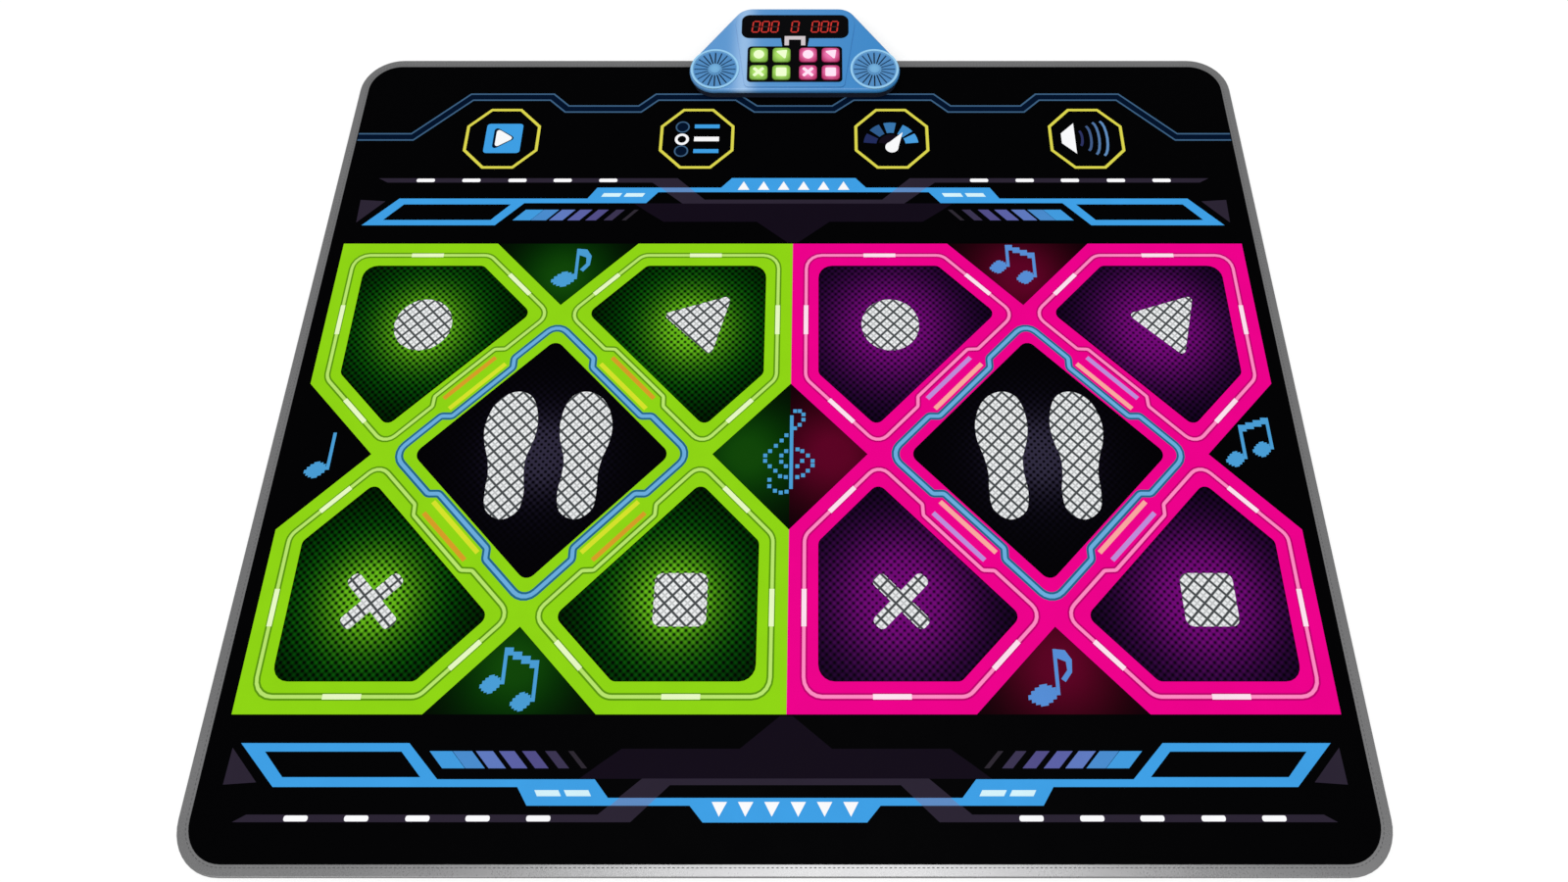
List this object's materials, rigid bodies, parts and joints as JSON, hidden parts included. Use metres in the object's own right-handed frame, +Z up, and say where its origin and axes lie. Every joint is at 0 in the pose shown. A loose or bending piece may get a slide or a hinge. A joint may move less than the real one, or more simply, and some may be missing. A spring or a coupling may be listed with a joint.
{
  "type": "dance rhythm machine",
  "caption": "Soft dance mat with printed step pads and function zones for side-by-side players, and a tilted console with speakers, digit display and symbol keys clamped on its rear edge.",
  "frame": {"origin": "on the floor under the centre of the whole object's outline, mat and console together", "axes": "+X to the players' right, +Y away from the players towards the console, +Z up"},
  "size_m": [1.1, 1.006, 0.0309],
  "materials": {
    "base_vinyl": "fine non-slip grain",
    "foam": "closed-cell foam",
    "film": "clear polyester film",
    "carbon_ink": "printed conductive ink",
    "printed_cover": "printed soft vinyl",
    "edge_tape": "folded grey tape, stitched",
    "steel": "zinc plated",
    "green_pad_cover": "printed soft vinyl",
    "pink_pad_cover": "printed soft vinyl",
    "green_key_plastic": "translucent",
    "pink_key_plastic": "translucent",
    "blue_shell": "satin moulded",
    "dark_plastic": "fine texture",
    "cell_wrap": "printed sleeve",
    "plated_contacts": "nickel plated",
    "display_black": "smoked",
    "light_plastic": "translucent",
    "board_green": "solder resist",
    "speaker_steel": "satin",
    "speaker_paper": "pressed paper",
    "grille_plastic": "moulded",
    "slider_plastic": "fine texture",
    "foot_rubber": "matt"
  },
  "bodies": {
    "mat": {"backing_plate": "steel", "base_sheet": "base_vinyl", "battery_cells": "cell_wrap", "battery_contacts": "plated_contacts", "battery_door": "dark_plastic", "board_screws": "steel", "case_screws": "steel", "clamp_screws": "steel", "display_modules": "display_black", "display_window": "display_black", "edge_binding": "edge_tape", "foam_core": "foam", "indicator_light": "light_plastic", "key_bezel": "display_black", "key_switches": "dark_plastic", "lower_contact_sheet": "film", "lower_contacts": "carbon_ink", "lower_housing": "dark_plastic", "main_board": "board_green", "power_switch": "dark_plastic", "ribbon_tail": "film", "rubber_feet": "foot_rubber", "spacer_foam": "foam", "speaker_cones": "speaker_paper", "speaker_frames": "speaker_steel", "speaker_grilles": "grille_plastic", "speaker_magnets": "speaker_steel", "top_cover": "printed_cover", "top_shell": "blue_shell", "upper_contact_sheet": "film"},
    "green_circle_step": {"green_circle_pad": "green_pad_cover", "green_circle_contact": "film"},
    "green_triangle_step": {"green_triangle_pad": "green_pad_cover", "green_triangle_contact": "film"},
    "green_cross_step": {"green_cross_pad": "green_pad_cover", "green_cross_contact": "film"},
    "green_square_step": {"green_square_pad": "green_pad_cover", "green_square_contact": "film"},
    "pink_circle_step": {"pink_circle_pad": "pink_pad_cover", "pink_circle_contact": "film"},
    "pink_triangle_step": {"pink_triangle_pad": "pink_pad_cover", "pink_triangle_contact": "film"},
    "pink_cross_step": {"pink_cross_pad": "pink_pad_cover", "pink_cross_contact": "film"},
    "pink_square_step": {"pink_square_pad": "pink_pad_cover", "pink_square_contact": "film"},
    "play_step": {"play_zone": "printed_cover"},
    "menu_step": {"menu_zone": "printed_cover"},
    "speed_step": {"speed_zone": "printed_cover"},
    "volume_step": {"volume_zone": "printed_cover"},
    "green_circle_button": {"green_circle_key": "green_key_plastic"},
    "green_triangle_button": {"green_triangle_key": "green_key_plastic"},
    "green_cross_button": {"green_cross_key": "green_key_plastic"},
    "green_square_button": {"green_square_key": "green_key_plastic"},
    "pink_circle_button": {"pink_circle_key": "pink_key_plastic"},
    "pink_triangle_button": {"pink_triangle_key": "pink_key_plastic"},
    "pink_cross_button": {"pink_cross_key": "pink_key_plastic"},
    "pink_square_button": {"pink_square_key": "pink_key_plastic"},
    "power_knob": {"power_slider": "slider_plastic"}
  },
  "joints": [
    {"name": "green_circle_step_press", "type": "slide", "parent": "mat", "child": "green_circle_step", "axis": [0, 0, -1], "range_m": [0, 0.0014], "stiffness_N_per_m": 8000, "springref_m": -0.0005},
    {"name": "green_triangle_step_press", "type": "slide", "parent": "mat", "child": "green_triangle_step", "axis": [0, 0, -1], "range_m": [0, 0.0014], "stiffness_N_per_m": 8000, "springref_m": -0.0005},
    {"name": "green_cross_step_press", "type": "slide", "parent": "mat", "child": "green_cross_step", "axis": [0, 0, -1], "range_m": [0, 0.0014], "stiffness_N_per_m": 8000, "springref_m": -0.0005},
    {"name": "green_square_step_press", "type": "slide", "parent": "mat", "child": "green_square_step", "axis": [0, 0, -1], "range_m": [0, 0.0014], "stiffness_N_per_m": 8000, "springref_m": -0.0005},
    {"name": "pink_circle_step_press", "type": "slide", "parent": "mat", "child": "pink_circle_step", "axis": [0, 0, -1], "range_m": [0, 0.0014], "stiffness_N_per_m": 8000, "springref_m": -0.0005},
    {"name": "pink_triangle_step_press", "type": "slide", "parent": "mat", "child": "pink_triangle_step", "axis": [0, 0, -1], "range_m": [0, 0.0014], "stiffness_N_per_m": 8000, "springref_m": -0.0005},
    {"name": "pink_cross_step_press", "type": "slide", "parent": "mat", "child": "pink_cross_step", "axis": [0, 0, -1], "range_m": [0, 0.0014], "stiffness_N_per_m": 8000, "springref_m": -0.0005},
    {"name": "pink_square_step_press", "type": "slide", "parent": "mat", "child": "pink_square_step", "axis": [0, 0, -1], "range_m": [0, 0.0014], "stiffness_N_per_m": 8000, "springref_m": -0.0005},
    {"name": "play_step_press", "type": "slide", "parent": "mat", "child": "play_step", "axis": [0, 0, -1], "range_m": [0, 0.0014], "stiffness_N_per_m": 4000, "springref_m": -0.0005},
    {"name": "menu_step_press", "type": "slide", "parent": "mat", "child": "menu_step", "axis": [0, 0, -1], "range_m": [0, 0.0014], "stiffness_N_per_m": 4000, "springref_m": -0.0005},
    {"name": "speed_step_press", "type": "slide", "parent": "mat", "child": "speed_step", "axis": [0, 0, -1], "range_m": [0, 0.0014], "stiffness_N_per_m": 4000, "springref_m": -0.0005},
    {"name": "volume_step_press", "type": "slide", "parent": "mat", "child": "volume_step", "axis": [0, 0, -1], "range_m": [0, 0.0014], "stiffness_N_per_m": 4000, "springref_m": -0.0005},
    {"name": "green_circle_button_press", "type": "slide", "parent": "mat", "child": "green_circle_button", "axis": [0, 0.0523, -0.9986], "range_m": [0, 0.001], "stiffness_N_per_m": 1500, "springref_m": -0.0005},
    {"name": "green_triangle_button_press", "type": "slide", "parent": "mat", "child": "green_triangle_button", "axis": [0, 0.0523, -0.9986], "range_m": [0, 0.001], "stiffness_N_per_m": 1500, "springref_m": -0.0005},
    {"name": "green_cross_button_press", "type": "slide", "parent": "mat", "child": "green_cross_button", "axis": [0, 0.0523, -0.9986], "range_m": [0, 0.001], "stiffness_N_per_m": 1500, "springref_m": -0.0005},
    {"name": "green_square_button_press", "type": "slide", "parent": "mat", "child": "green_square_button", "axis": [0, 0.0523, -0.9986], "range_m": [0, 0.001], "stiffness_N_per_m": 1500, "springref_m": -0.0005},
    {"name": "pink_circle_button_press", "type": "slide", "parent": "mat", "child": "pink_circle_button", "axis": [0, 0.0523, -0.9986], "range_m": [0, 0.001], "stiffness_N_per_m": 1500, "springref_m": -0.0005},
    {"name": "pink_triangle_button_press", "type": "slide", "parent": "mat", "child": "pink_triangle_button", "axis": [0, 0.0523, -0.9986], "range_m": [0, 0.001], "stiffness_N_per_m": 1500, "springref_m": -0.0005},
    {"name": "pink_cross_button_press", "type": "slide", "parent": "mat", "child": "pink_cross_button", "axis": [0, 0.0523, -0.9986], "range_m": [0, 0.001], "stiffness_N_per_m": 1500, "springref_m": -0.0005},
    {"name": "pink_square_button_press", "type": "slide", "parent": "mat", "child": "pink_square_button", "axis": [0, 0.0523, -0.9986], "range_m": [0, 0.001], "stiffness_N_per_m": 1500, "springref_m": -0.0005},
    {"name": "power_knob_slide", "type": "slide", "parent": "mat", "child": "power_knob", "axis": [1, 0, 0], "range_m": [0, 0.004]}
  ]
}
